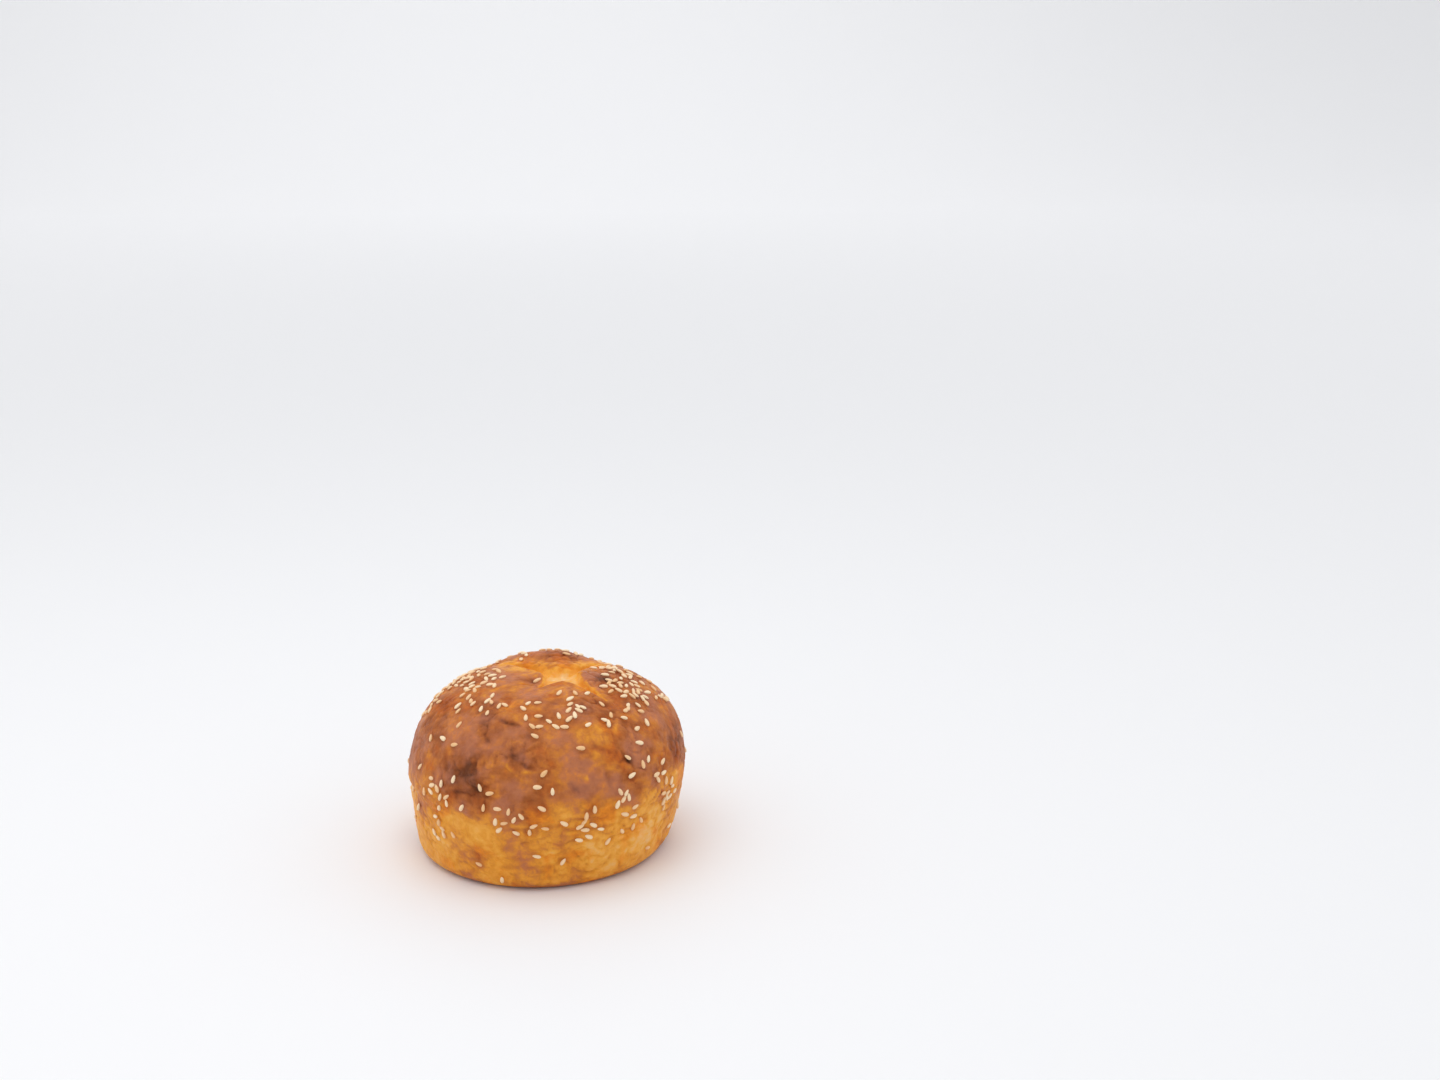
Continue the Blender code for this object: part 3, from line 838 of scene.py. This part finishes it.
# The first seeds lie well apart, where the solid's are, and the rest in clumps between them.
SPREAD_DRAW = 41
CLUMP_DRAW = 7
LAYING_DRAW = 5
seed_beds = []
scatter(seed_beds, SPREAD_SEEDS, SPREAD_GAP, 1, random.Random(SPREAD_DRAW))
scatter(seed_beds, ALL_SEEDS, CLUMP_GAP, CLUMP_KEENNESS, random.Random(CLUMP_DRAW))
lift = Matrix.Translation((0, 0, SEED_LIFT))
draw = random.Random(LAYING_DRAW)
seeds = []
for bed in seed_beds:
    size = Matrix.Scale(1 + draw.uniform(-SEED_SIZE_SPREAD, SEED_SIZE_SPREAD), 4)
    tilt = Matrix.Rotation(draw.uniform(-SEED_TILT, SEED_TILT), 4, 'X')
    pitch = Matrix.Rotation(draw.uniform(-SEED_TILT, SEED_TILT), 4, 'Y')
    mesh = pattern.data.copy()
    mesh.transform(bed @ lift @ tilt @ pitch @ size)
    toast = mesh.attributes.new("toast", 'FLOAT', 'POINT')
    toast.data.foreach_set("value", [draw.random()] * len(mesh.vertices))
    seed = bpy.data.objects.new("seed", mesh)
    bpy.context.collection.objects.link(seed)
    seeds.append(seed)
bpy.data.objects.remove(pattern)
bpy.ops.object.select_all(action='DESELECT')
for seed in seeds:
    seed.select_set(True)
bpy.context.view_layer.objects.active = seeds[0]
bpy.ops.object.join()
sesame = bpy.context.object
sesame.name = "sesame_seeds"

# The crust round each seed is pressed in a little and drawn darker: partly the egg wash that
# browned there, partly painted shade under the seed.
RIM_RADIUS = 0.0017
RIM_HALF_WIDTH = 0.0007
RIM_PRESS = 0.00012
RIM_BROWN_AND_SHADE = 0.07
nearest = kdtree.KDTree(len(seed_beds))
for index, bed in enumerate(seed_beds):
    nearest.insert(bed.translation, index)
nearest.balance()
browning_and_shade_levels = crust.data.attributes["browning_and_shade"].data
for vert in crust.data.vertices:
    index, distance = nearest.find(vert.co)[1:]
    rim = bell(distance - RIM_RADIUS, RIM_HALF_WIDTH)
    vert.co -= seed_beds[index].col[2].to_3d() * RIM_PRESS * rim
    # Painted shade round the seed, with the wash's browning.
    browning_and_shade_levels[vert.index].value += RIM_BROWN_AND_SHADE * rim

# Hulled sesame, lightly toasted: each seed has its own colour from ivory to tan, and all have
# a faint oily sheen.
toasted = bpy.data.materials.new("toasted_sesame")
toasted.use_nodes = True
tree = toasted.node_tree
shader = tree.nodes["Principled BSDF"]
toast = add_node(tree, "ShaderNodeAttribute", {"attribute_name": "toast"}, {})
colours = add_node(tree, "ShaderNodeValToRGB", {}, {"Fac": toast.outputs["Fac"]})
colours.color_ramp.elements[0].color = linear("#FFE6BE")
colours.color_ramp.elements[1].color = linear("#F2C086")
tree.links.new(colours.outputs["Color"], shader.inputs["Base Color"])
shader.inputs["Roughness"].default_value = 0.4
sesame.data.materials.clear()
sesame.data.materials.append(toasted)
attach(sesame, "root")
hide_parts("sesame_roll")


# The paper sweep: a wide sheet of white background paper, flat under the roll and curving up
# far behind it. It is a plane whose back edge is drawn up, and the fold is then rounded.

SWEEP_SIZE = 8.0
SWEEP_RISE = 3.0
SWEEP_FOLD = 1.2
SWEEP_STEPS = 24


def select_fold(sheet):
    """Selects a sheet's back edge where it lies on the floor, and nothing else, in edit mode."""
    bpy.ops.object.mode_set(mode='EDIT')
    bpy.ops.mesh.select_all(action='DESELECT')
    bpy.ops.object.mode_set(mode='OBJECT')
    for edge in sheet.edges:
        ends = [sheet.vertices[index].co for index in edge.vertices]
        if all(end.y > 0 and end.z < SWEEP_RISE / 2 for end in ends):
            edge.select = True
    bpy.ops.object.mode_set(mode='EDIT')


bpy.ops.mesh.primitive_plane_add(size=SWEEP_SIZE, location=(0, 0, 0))
sweep = bpy.context.object
sweep.name = "paper_sweep"
select_fold(sweep.data)
bpy.ops.mesh.extrude_region_move(TRANSFORM_OT_translate={"value": (0, 0, SWEEP_RISE)})
select_fold(sweep.data)
bpy.ops.mesh.bevel(offset=SWEEP_FOLD, segments=SWEEP_STEPS, affect='EDGES')
bpy.ops.object.mode_set(mode='OBJECT')
bpy.ops.object.shade_smooth()

# White background paper: uncoated, so it is matt.
paper = bpy.data.materials.new("white_background_paper")
paper.use_nodes = True
shader = paper.node_tree.nodes["Principled BSDF"]
shader.inputs["Base Color"].default_value = linear("#F4F4F5")
shader.inputs["Roughness"].default_value = 0.9
sweep.data.materials.append(paper)


# The light: a white room, darker on the photographer's side, with one soft box over the roll
# and a larger one over the far paper, whose upward sweep it keeps bright.

ROOM_STRENGTH = 1.0
DARK_SIDE = 0.35
BEHIND_THE_PAPER = 0.875  # how bright the room looks where the camera sees past the paper
world = bpy.data.worlds.new("white_room")
world.use_nodes = True
tree = world.node_tree
background = tree.nodes["Background"]
background.inputs["Color"].default_value = linear("#F5F6F8")
direction = add_node(tree, "ShaderNodeTexCoord", {}, {})
to_front = add_node(
    tree,
    "ShaderNodeVectorMath",
    {"operation": 'DOT_PRODUCT'},
    {0: direction.outputs["Generated"], 1: (0, -1, 0)},
)
room = add_node(
    tree,
    "ShaderNodeMapRange",
    {},
    {
        "Value": to_front.outputs["Value"],
        "From Min": 0.7,
        "From Max": 0.92,
        "To Min": ROOM_STRENGTH,
        "To Max": DARK_SIDE,
    },
)
path = add_node(tree, "ShaderNodeLightPath", {}, {})
strength = add_node(
    tree,
    "ShaderNodeMapRange",
    {},
    {
        "Value": path.outputs["Is Camera Ray"],
        "To Min": room.outputs["Result"],
        "To Max": BEHIND_THE_PAPER,
    },
)
tree.links.new(strength.outputs["Result"], background.inputs["Strength"])
bpy.context.scene.world = world

# Each soft box has a name, a place, a width and a power in watts.
SOFT_BOXES = (
    ("roll_soft_box", (-0.12, -0.1, 0.72), 0.6, 1.15),
    ("paper_soft_box", (0.0, 3.6, 2.0), 2.0, 11.0),
)
for name, location, size, energy in SOFT_BOXES:
    bpy.ops.object.light_add(type='AREA', location=location, rotation=(0, 0, 0))
    soft_box = bpy.context.object
    soft_box.name = name
    soft_box.data.size = size
    soft_box.data.energy = energy
    soft_box.visible_camera = False


# The camera: a 45 mm lens on a full frame, where the photographer stood, turned a little to
# the right of the roll and looking down on it.

CAMERA_PLACE = (0, -0.6413, 0.2915)
CAMERA_PITCH = 15.17  # degrees below the horizon
CAMERA_TURN = 5.87  # degrees to the right of +Y
bpy.ops.object.camera_add(
    location=CAMERA_PLACE,
    rotation=(math.radians(90 - CAMERA_PITCH), 0, -math.radians(CAMERA_TURN)),
)
camera = bpy.context.object
camera.data.lens = 45.0
camera.data.sensor_width = 36.0
camera.data.clip_start = 0.01
bpy.context.scene.camera = camera
bpy.context.scene.view_settings.view_transform = 'Standard'
